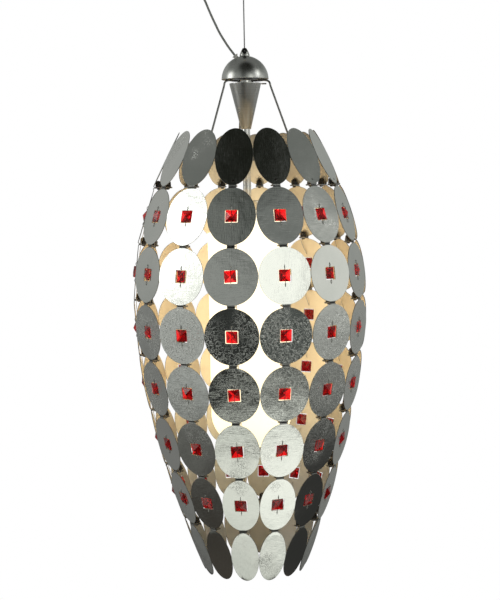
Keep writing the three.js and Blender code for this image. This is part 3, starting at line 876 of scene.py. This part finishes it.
def make_holder():
    """A porcelain lamp holder with a sloping shoulder and a shallow groove."""
    low, high = heights("lamp_holder")
    crown = high - HOLDER.crown
    groove_low = low + HOLDER_GROOVE.low
    groove_high = low + HOLDER_GROOVE.high
    outline = [
        (HOLDER.hole, crown), (HOLDER.bore, crown), (HOLDER.bore, low), (HOLDER.radius, low),
        (HOLDER.radius, groove_low), (HOLDER_GROOVE.radius, groove_low + HOLDER_GROOVE.slope),
        (HOLDER_GROOVE.radius, groove_high - HOLDER_GROOVE.slope), (HOLDER.radius, groove_high),
        (HOLDER.radius, high - HOLDER.slope), (HOLDER.shoulder, high), (HOLDER.hole, high),
        (HOLDER.hole, crown),
    ]
    turned_part("lamp_holder", "lamp", "white_porcelain", rounded(outline, HOLDER.edge, 3), PORCELAIN, 80)


def make_bulb_base():
    """A screw base with a rounded thread and a contact on top."""
    low, high = heights("bulb_base")
    steps = THREAD_TURNS * THREAD_STEPS
    outline = [(0, low)]
    for i in range(steps + 1):
        wave = math.sin(2 * math.pi * i / THREAD_STEPS)
        outline.append((THREAD.radius + THREAD.depth * wave, low + (high - THREAD.end - low) * i / steps))
    outline += [
        (CONTACT.shoulder, high - CONTACT.drop), (CONTACT.rim, high - CONTACT.rise),
        (CONTACT.tip, high), (0, high),
    ]
    turned_part("bulb_base", "bulb", "brass", outline, BRASS, 56, sharp=60)


def make_bulb_glass():
    """The round of the bulb, then its throat up to the base."""
    low, high = heights("bulb_glass")
    turn = math.radians(128)
    outline = arc(BULB.radius, -math.pi / 2, turn - math.pi / 2, 24, low + BULB.radius)
    outline += profile(THROAT_OUTLINE, high) + [(BULB.base, high), (0, high)]
    turned_part("bulb_glass", "bulb", "frosted_bulb", outline, FROSTED, 72, sharp=60)


def glass_outline(inset):
    """Down the neck, round the shoulder, down the straight wall and round the closed end to the axis."""
    low, high = heights("diffuser_glass")
    side = GLASS.radius - inset
    narrow = NECK.radius - inset
    bottom = low + inset
    points = [(narrow, high)]
    for angle in quarter_turn(14):
        z = NECK.end + (GLASS.shoulder - NECK.end) * math.sin(angle)
        points.append((side - (side - narrow) * math.cos(angle), z))
    steps = 8
    points += [(side, GLASS.shoulder + (GLASS.tangent - GLASS.shoulder) * i / steps) for i in range(1, steps)]
    for angle in quarter_turn(20):
        points.append((side * math.cos(angle), GLASS.tangent - (GLASS.tangent - bottom) * math.sin(angle)))
    return points


def quarter_turn(steps):
    return [math.pi / 2 * i / steps for i in range(steps + 1)]


def make_diffuser():
    outline = glass_outline(0)[::-1] + glass_outline(GLASS.wall)
    turned_part("diffuser_glass", "diffuser", "opal_glass", outline, OPAL, 96, sharp=50)


make_fitter()
make_holder()
make_bulb_base()
make_bulb_glass()
make_diffuser()


# ---- Shade: the discs ----

def joint_point(index):
    return JOINT_RADII[index], SHADE_TOP - ROW_PITCH * index


def row_place(row):
    """The slant height of a row, its middle's radius, and its frame: +Z outwards, +Y up the column."""
    top_radius, top_z = joint_point(row - 1)
    low_radius, low_z = joint_point(row)
    up = Vector((0, low_radius - top_radius, top_z - low_z))
    slant = up.length
    up.normalize()
    right = Vector((1, 0, 0))
    out = right.cross(up)
    radius = (top_radius + low_radius) / 2
    matrix = Matrix((right, up, out)).transposed().to_4x4()
    matrix.translation = (0, -radius, (top_z + low_z) / 2)
    return slant, radius, matrix


def column_matrix(column):
    return Matrix.Rotation(FIRST_AZIMUTH + 2 * math.pi * column / COLUMNS, 4, "Z")


def window_point(angle):
    """A point of the window's edge, a square with rounded corners, at an angle from its middle."""
    x, y = math.cos(angle), math.sin(angle)
    reach = WINDOW.half / max(abs(x), abs(y))
    point = Vector((x * reach, y * reach))
    inner = WINDOW.half - WINDOW.corner
    if abs(point.x) > inner and abs(point.y) > inner:
        centre = Vector((math.copysign(inner, point.x), math.copysign(inner, point.y)))
        point = centre + (point - centre).normalized() * WINDOW.corner
    return point


def disc_section(edge, windowed):
    """The loops of a disc's skin: share of the way to the rim, height, and the next band's finish."""
    half = DISC.thickness / 2
    shares = [edge + (1 - 2 * edge) * i / DISC_BANDS for i in range(DISC_BANDS + 1)]
    front = [(share, half, OUTER) for share in shares[:-1]] + [(shares[-1], half, EDGE)]
    rim = [(1, half - DISC.soft, EDGE), (1, DISC.soft - half, EDGE)]
    back = [(share, -half, INNER) for share in shares[:0:-1]] + [(shares[0], -half, EDGE)]
    window = [(0, DISC.soft - half, EDGE), (0, half - DISC.soft, EDGE)]
    return front + rim + back + (window if windowed else [])


def disc_loop(builder, halves, windowed, share, height):
    """One loop of a disc, between its window or its middle at share 0 and its rim at share 1."""
    loop = []
    for i in range(DISC_SIDES):
        angle = 2 * math.pi * i / DISC_SIDES
        rim = Vector((halves.x * math.cos(angle), halves.y * math.sin(angle)))
        inner = window_point(math.atan2(rim.y, rim.x)) if windowed else rim * 0.12
        point = inner + (rim - inner) * share
        loop.append(builder.verts.new((point.x, point.y, height)))
    return loop


def pierce(piece):
    """Drills the two wire holes of a disc."""
    for side in (1, -1):
        cutter = drill(WIRE.hole_radius, -2 * MM, 2 * MM, 14, Matrix.Translation((0, side * WIRE.hole, 0)))
        for material in LEAF[:3]:
            cutter.data.materials.append(material)
        cutter.data.polygons.foreach_set("material_index", [EDGE] * len(cutter.data.polygons))
        cut_with(piece, cutter)


def disc_template(row):
    """A flat oval disc with soft edges. In crystal rows it has a window and two wire holes."""
    slant, radius, _ = row_place(row)
    half_width = radius * math.tan(math.pi / COLUMNS) - DISC.aside
    half_height = (slant - DISC.gap) / 2
    windowed = row in CRYSTAL_ROWS
    builder = bmesh.new()
    section = disc_section(DISC.soft / (half_width - WINDOW.half), windowed)
    halves = Vector((half_width, half_height))
    loops = [disc_loop(builder, halves, windowed, share, height) for share, height, _ in section]
    if windowed:
        loops.append(loops[0])
    for first, second, (_, _, finish) in zip(loops, loops[1:], section):
        for i in range(DISC_SIDES):
            j = (i + 1) % DISC_SIDES
            builder.faces.new((first[i], first[j], second[j], second[i])).material_index = finish
    if not windowed:
        builder.faces.new(loops[0]).material_index = OUTER
        builder.faces.new(loops[-1][::-1]).material_index = INNER
    piece = finish_mesh(f"disc_row_{row}", builder, LEAF[:3], 20)
    if windowed:
        pierce(piece)
    mesh = piece.data
    bpy.data.objects.remove(piece)
    return mesh


def add_disc(builder, template, row, column):
    """Copies a disc into its place, tilted a hair and very slightly wavy, as hand-hung leafed sheet is."""
    _, _, place = row_place(row)
    lean = [math.radians(random.gauss(0, 0.55)) for _ in range(2)]
    tilt = Matrix.Rotation(lean[0], 4, "X") @ Matrix.Rotation(lean[1], 4, "Y")
    matrix = column_matrix(column) @ place @ tilt
    start = len(builder.verts)
    builder.from_mesh(template)
    builder.verts.ensure_lookup_table()
    seed = Vector((row * 7.3, column * 3.1, 0))
    for vertex in builder.verts[start:]:
        x, y, z = vertex.co
        wave = noise.noise(Vector((x, y, 0)) * 38 + seed)
        crown = 1 - (x ** 2 + y ** 2) / DISC.crown_reach ** 2
        vertex.co = matrix @ Vector((x, y, z + DISC.wave * wave + DISC.crown * crown))


# ---- Shade: the joints between the discs ----

def add_strip(builder, path, matrix, materials):
    """Adds a bent tab along a path of (distance from the axis, height) points, narrower at its end."""
    widths = [TAB.width] * (len(path) - 2) + [0.92 * TAB.width, 0.74 * TAB.width]
    rows = []
    for i, (point, width) in enumerate(zip(path, widths)):
        along = (path[min(i + 1, len(path) - 1)] - path[max(i - 1, 0)]).normalized()
        out = Vector((along.y, -along.x)) * TAB.thickness / 2
        row = []
        for side, level in ((-1, 1), (1, 1), (1, -1), (-1, -1)):
            place = point + out * level
            row.append(builder.verts.new(matrix @ Vector((side * width / 2, -place.x, place.y))))
        rows.append(row)
    outer, inner, edge = materials
    for a, b in zip(rows, rows[1:]):
        for k, finish in enumerate((outer, edge, inner, edge)):
            face = builder.faces.new((a[k], a[(k + 1) % 4], b[(k + 1) % 4], b[k]))
            face.material_index = finish
    for row in (rows[0], rows[-1]):
        builder.faces.new(row).material_index = edge


def tab_path(index, side):
    """From the disc's end round a tight bend, then level and inwards. Side is 1 above the joint, -1 below."""
    radius, z = joint_point(index)
    above_radius, above_z = joint_point(index - (side + 1) // 2)
    below_radius, below_z = joint_point(index + (1 - side) // 2)
    up = Vector((above_radius - below_radius, above_z - below_z)).normalized() * side
    joint = Vector((radius, z))
    level = z + side * TAB.thickness * 0.53
    bend_start = joint + up * TAB.bend
    corner = Vector((radius, level))
    bend_end = Vector((radius - TAB.level, level))
    path = [joint + up * (DISC.gap / 2 + TAB.overlap)]
    for step in range(6):
        t = step / 5
        path.append((1 - t) ** 2 * bend_start + 2 * t * (1 - t) * corner + t ** 2 * bend_end)
    end = radius - TAB.reach
    return path + [Vector((end + left * MM, level)) for left in (1.6, 0.7, 0)]


def add_joint_hardware(builder, index, column):
    """The cap nut that stands on the tabs, and the screw's end under them."""
    radius, z = joint_point(index)
    spin = Matrix.Rotation(random.uniform(0, math.pi / 3), 4, "Z")
    place = column_matrix(column) @ Matrix.Translation((0, NUT.inset - radius, 0)) @ spin
    base = z + TAB.thickness * 1.06
    add_turned(builder, profile(NUT_OUTLINE, base), 6, place)
    cap_base = base + NUT.cap_base
    cap = [(0, base + NUT.cap_start), (NUT.cap, base + NUT.cap_start)]
    cap += [(NUT.cap * math.cos(a), cap_base + NUT.cap_height * math.sin(a)) for a in quarter_turn(8)]
    add_turned(builder, cap, 28, place)
    under = z - TAB.thickness * 1.06
    add_turned(builder, profile(SCREW_END_OUTLINE, under), 24, place)


# ---- Shade: the crystals and their wires ----

def add_crystal(builder, matrix):
    """A square stone: a thin girdle with softened corners, and four facets up to a point on each side."""

    def outline(level, inset):
        reach = CRYSTAL.half - inset
        trimmed = reach - CRYSTAL.trim
        points = []
        for x, y in ((1, 1), (-1, 1), (-1, -1), (1, -1)):
            pair = [(x * reach, y * trimmed), (x * trimmed, y * reach)]
            points += pair if x * y > 0 else pair[::-1]
        return [builder.verts.new(matrix @ Vector((x, y, level))) for x, y in points]

    girdle, soft = CRYSTAL.girdle, CRYSTAL.soft
    low, low_edge = outline(soft - girdle, 0), outline(-girdle, soft)
    high, high_edge = outline(girdle - soft, 0), outline(girdle, soft)
    tip = builder.verts.new(matrix @ Vector((0, 0, CRYSTAL.point)))
    base = builder.verts.new(matrix @ Vector((0, 0, -CRYSTAL.point)))
    for i in range(len(low)):
        j = (i + 1) % len(low)
        for lower, upper in ((low_edge, low), (low, high), (high, high_edge)):
            builder.faces.new((lower[i], lower[j], upper[j], upper[i]))
        builder.faces.new((high_edge[i], high_edge[j], tip))
        builder.faces.new((low_edge[j], low_edge[i], base))


def wire_stops(slant):
    """The wire's way past one disc, in the disc's frame: sideways, up and outwards."""
    front = DISC.thickness / 2 + WIRE.front
    behind = -DISC.thickness / 2 - WIRE.behind
    deep = -DISC.thickness / 2 - WIRE.deep
    turn = slant / 2 - 5 * MM
    upper = [
        (WIRE.aside, turn, deep), (0.3 * MM, WIRE.hole + 2.5 * MM, behind), (0, WIRE.hole, 0),
        (0, WIRE.hole - 1.6 * MM, front), (0, CRYSTAL.half + MM, front * 0.6), (0, CRYSTAL.half - 2 * MM, 0),
    ]
    return upper + [(x, -y, z) for x, y, z in reversed(upper)]


def wire_points(column):
    """The wire's way down a column: in front of each disc between its two holes, and behind it elsewhere."""
    points = []
    for row in CRYSTAL_ROWS:
        slant, _, place = row_place(row)
        matrix = column_matrix(column) @ place
        points += [matrix @ Vector(stop) for stop in wire_stops(slant)]
    return points[1:-1]


# ---- Shade: its columns ----

def make_disc_column(column, label, templates):
    """A column's discs and tabs as one piece, and its nuts and screw ends as another."""
    builder = bmesh.new()
    for row in ROWS:
        add_disc(builder, templates[row], row, column)
    for index in JOINTS:
        add_strip(builder, tab_path(index, 1), column_matrix(column), (INNER, TAB_METAL, EDGE))
        add_strip(builder, tab_path(index, -1), column_matrix(column), (TAB_METAL, INNER, EDGE))
    discs = finish_mesh(f"discs_{label}", builder, LEAF, 20)
    stand_for(discs, "lamp", "silver_leaf", f"disc_column_{label}")

    builder = bmesh.new()
    for index in JOINTS:
        add_joint_hardware(builder, index, column)
    stand_for(finish_mesh(f"cap_nuts_{label}", builder, [BLACK_PLASTIC], 30), "lamp", "black_plastic")


def make_crystal_string(column, label):
    """A column's crystals, each hung a little differently, and the wire that holds them."""
    builder = bmesh.new()
    for row in CRYSTAL_ROWS:
        _, _, place = row_place(row)
        twist = Matrix.Rotation(math.radians(random.gauss(0, 9)), 4, "Y")
        swing = Matrix.Rotation(math.radians(random.gauss(0, 1.5)), 4, "Z")
        hang = Matrix.Translation((random.gauss(-0.2, 0.2) * MM, random.gauss(0.15, 0.2) * MM, 0))
        add_crystal(builder, column_matrix(column) @ place @ hang @ twist @ swing)
    crystals = finish_mesh(f"crystals_{label}", builder, [RED], 5)
    stand_for(crystals, "lamp", "red_crystal", f"crystal_string_{label}")
    wire = tube_piece(f"crystal_wire_{label}", wire_points(column), WIRE.radius, WIRE_METAL, resolution=2)
    stand_for(wire, "lamp", "black_steel")


def make_shade():
    templates = {row: disc_template(row) for row in ROWS}
    for column in range(COLUMNS):
        label = f"{column + 1:02d}"
        make_disc_column(column, label, templates)
        make_crystal_string(column, label)
    for mesh in templates.values():
        bpy.data.meshes.remove(mesh)


make_shade()


# ---- The ceiling end's last touches ----

def finish_terminal_block():
    """The terminal block stays as it is in CAD, inside the canopy."""
    block = bpy.data.objects["terminal_block"]
    block.data.materials.clear()
    block.data.materials.append(WHITE_PLASTIC)
    block.visible_glossy = False


def hide_ceiling_from_metal():
    """The real ceiling is much farther up, so the dome doesn't mirror the ceiling end."""
    screws = ("canopy_screw_1", "canopy_screw_2")
    for node in ("ceiling_plate", "ceiling_canopy", *screws, "cord_gland", "cable_bush"):
        bpy.data.objects[node + "_fine"].visible_glossy = False


finish_terminal_block()
hide_ceiling_from_metal()


# ---- Studio ----

# Patches of the studio that the metal reflects: azimuth from the front towards +X, elevation, radius and
# soft edge in degrees, then colour. Each one covers those before it.
STUDIO_PATCHES = [
    (-15, -18, 9, 14, (0.028, 0.030, 0.028)),  # shadow under the camera
    (34, -17, 9, 8, (0.075, 0.082, 0.077)),  # shadow right of the camera
    (-10, 29, 8, 13, (0.200, 0.212, 0.198)),  # dim wall over the camera
    (-6, 22, 9, 7, (0.050, 0.054, 0.050)),  # the camera's own dark shape
    (-4, 41, 9, 8, (0.035, 0.037, 0.035)),  # dark wall above it
    (38, 32, 5, 9, (0.205, 0.215, 0.205)),  # dim wall on its right
    (13, 60, 23, 14, (0.011, 0.012, 0.009)),  # black ceiling over the camera
    (92, 3, 3, 16, (0.770, 0.775, 0.730)),  # light wall on the right
    (105, -38, 8, 8, (0.035, 0.035, 0.033)),  # dark floor on the right
    (-76, -14, 7, 11, (0.470, 0.480, 0.460)),  # light wall on the left
    (-80, -32, 4, 6, (0.125, 0.125, 0.115)),  # its foot
    (-118, -25, 12, 14, (0.205, 0.205, 0.198)),  # floor on the left
    (-130, 18, 10, 14, (0.380, 0.385, 0.370)),  # wall behind on the left
    (-76, 15, 14, 5, (1.130, 1.140, 1.070)),  # left softbox
    (72, 26, 9, 4, (1.400, 1.410, 1.320)),  # right softbox
    (31, 7, 11, 3, (1.260, 1.270, 1.180)),  # front right softbox
    (-18, -47, 14, 2, (0.880, 0.900, 0.820)),  # lit table, left half
    (41, -46, 14, 2, (1.130, 1.150, 1.060)),  # lit table, right half
    (-24, -61, 8, 3, (0.700, 0.720, 0.660)),  # lit table, near edge on the left
    (47, -61, 10, 2, (0.560, 0.580, 0.530)),  # lit table, near edge on the right
    (12, -70, 12, 7, (0.620, 0.640, 0.580)),  # lit table, nearest part
]

# The studio all round: sine of the elevation, then colour.
STUDIO_HEIGHTS = [
    (-0.72, (0.056, 0.049, 0.041)),
    (-0.60, (0.030, 0.028, 0.026)),
    (-0.47, (0.070, 0.071, 0.067)),
    (-0.38, (0.205, 0.208, 0.198)),
    (-0.20, (0.285, 0.290, 0.278)),
    (0.05, (0.340, 0.350, 0.332)),
    (0.30, (0.360, 0.370, 0.352)),
    (0.46, (0.230, 0.240, 0.226)),
    (0.60, (0.150, 0.158, 0.148)),
    (0.75, (0.190, 0.195, 0.185)),
]


def studio_base(studio, direction):
    """The studio all round, by height."""
    height = studio.add("SeparateXYZ", {0: direction}).outputs[2]
    ramp = studio.add("ValToRGB", {0: studio.span(height, -1.0, 1.0, 0.0, 1.0)})
    stops = ramp.color_ramp.elements
    while len(stops) < len(STUDIO_HEIGHTS):
        stops.new(0.5)
    for stop, (sine, color) in zip(stops, STUDIO_HEIGHTS):
        stop.position = (sine + 1) / 2
        stop.color = rgba(*color)
    return ramp.outputs[0]


def patch_mask(studio, direction, azimuth, elevation, radius, edge):
    """One inside a round patch of the studio, falling to zero over its soft edge."""
    around, up = math.radians(azimuth), math.radians(elevation)
    aim = (math.sin(around) * math.cos(up), -math.cos(around) * math.cos(up), math.sin(up))
    cosine = studio.add("VectorMath", {0: direction, 1: aim}, operation="DOT_PRODUCT").outputs["Value"]
    outer, inner = math.cos(math.radians(radius + edge)), math.cos(math.radians(radius))
    limits = {"Value": cosine, "From Min": outer, "From Max": inner}
    return studio.add("MapRange", limits, interpolation_type="SMOOTHSTEP").outputs[0]


def make_studio():
    """A world that the metal reflects, and that the camera sees as plain white."""
    bpy.context.scene.view_settings.view_transform = "Standard"
    world = bpy.data.worlds.new("studio")
    bpy.context.scene.world = world
    world.use_nodes = True
    world.node_tree.nodes.clear()
    studio = Nodes(world.node_tree)
    direction = studio.add("TexCoord").outputs["Generated"]
    color = studio_base(studio, direction)
    for azimuth, elevation, radius, edge, patch_color in STUDIO_PATCHES:
        mask = patch_mask(studio, direction, azimuth, elevation, radius, edge)
        color = studio.mix(mask, color, rgba(*patch_color))
    seen = studio.add("LightPath").outputs["Is Camera Ray"]
    background = studio.add("Background", {"Color": studio.mix(seen, color, rgba(1, 1, 1)), "Strength": 1.0})
    studio.add("OutputWorld", {0: background.outputs[0]})


def make_floor():
    """A plain pale floor well below the lamp."""
    place = (0, 0, FLOOR_Z)
    bpy.ops.mesh.primitive_circle_add(vertices=96, radius=FLOOR_RADIUS, fill_type="NGON", location=place)
    floor = bpy.context.object
    floor.name = "floor"
    floor.data.materials.append(moulded("floor_paint", (0.86, 0.86, 0.85), 0.7, 0.02, Emission_Strength=0.5))
    floor.visible_glossy = False
    floor.visible_diffuse = False


def add_soft_light(name, place, size, power):
    """A large soft lamp, aimed at the middle of the shade."""
    data = bpy.data.lights.new(name, "AREA")
    data.shape = "RECTANGLE"
    data.size, data.size_y = size
    data.energy = power
    light = bpy.data.objects.new(name, data)
    light.location = place
    light.rotation_euler = (LIGHT_TARGET - Vector(place)).to_track_quat("-Z", "Y").to_euler()
    bpy.context.scene.collection.objects.link(light)


make_studio()
make_floor()
add_soft_light("key", (-2.4, -0.42, 0.35), (0.9, 1.0), 5)
add_soft_light("fill", (1.9, -0.85, 0.5), (0.5, 0.7), 2)
